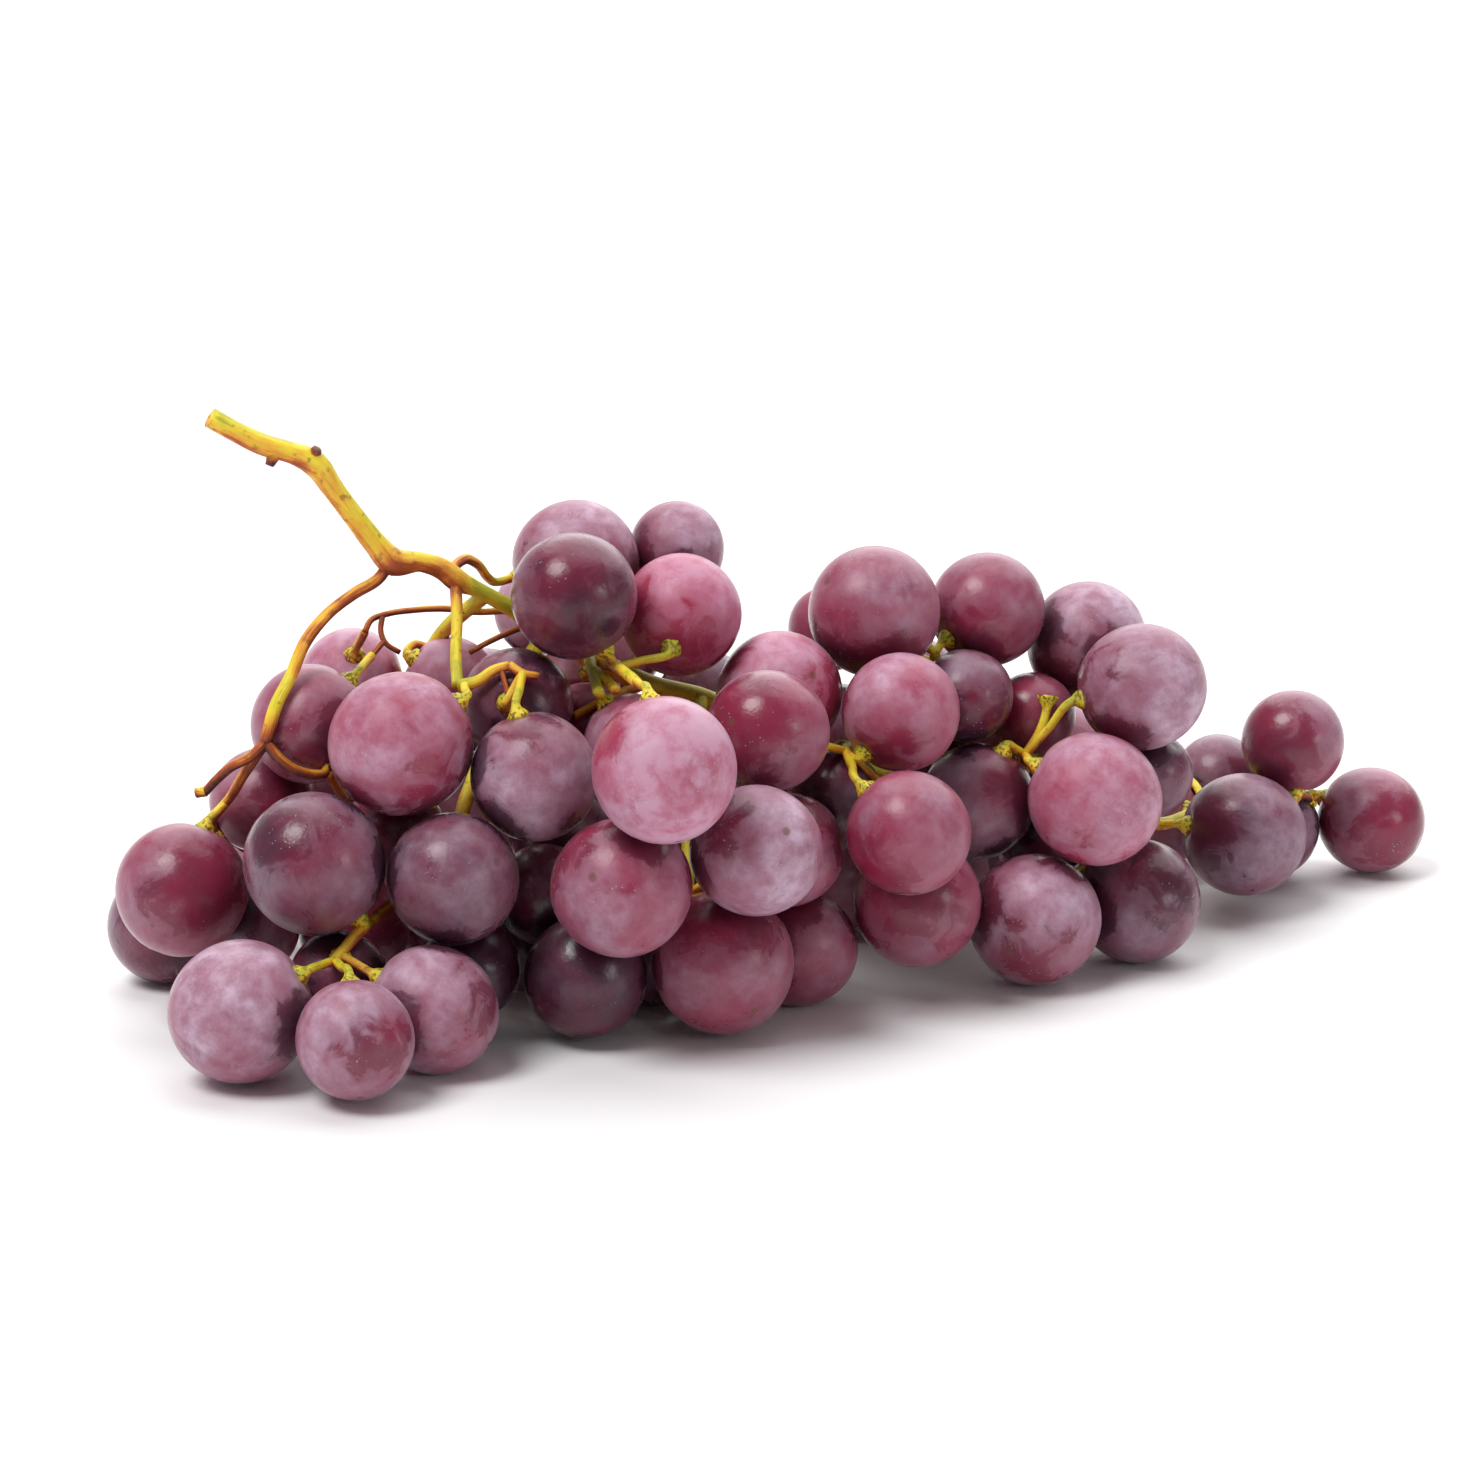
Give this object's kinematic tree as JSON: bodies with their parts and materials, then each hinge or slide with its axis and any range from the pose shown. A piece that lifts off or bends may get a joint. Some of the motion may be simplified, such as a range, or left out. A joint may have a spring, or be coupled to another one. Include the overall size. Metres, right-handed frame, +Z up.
{
  "type": "bunch of grapes",
  "caption": "Bunch of large red table grapes lying on its side, with a woody cut stem rising from one end; resting fruit for a table, bowl or market display.",
  "frame": {"origin": "centre of the bounding box's lowest plane, on the surface that the bunch rests on", "axes": "+X from the cut stem end towards the tip of the bunch, +Z up"},
  "size_m": [0.2684, 0.1225, 0.1129],
  "materials": {
    "skin": "wine-red to mauve berry skin under a pale waxy bloom, satin, with rubbed glossier patches",
    "stem": "yellow to ochre woody stem with orange-brown streaks and darker nodes"
  },
  "bodies": {
    "root": {"grapes_wing": "skin", "grapes_left_foot": "skin", "grapes_left_front": "skin", "grapes_shoulder": "skin", "grapes_crown": "skin", "grapes_middle_front": "skin", "grapes_middle_top": "skin", "grapes_right_front": "skin", "grapes_right_top": "skin", "grapes_middle_back": "skin", "grapes_right_back": "skin", "grapes_tip": "skin", "stem": "stem"}
  },
  "joints": []
}
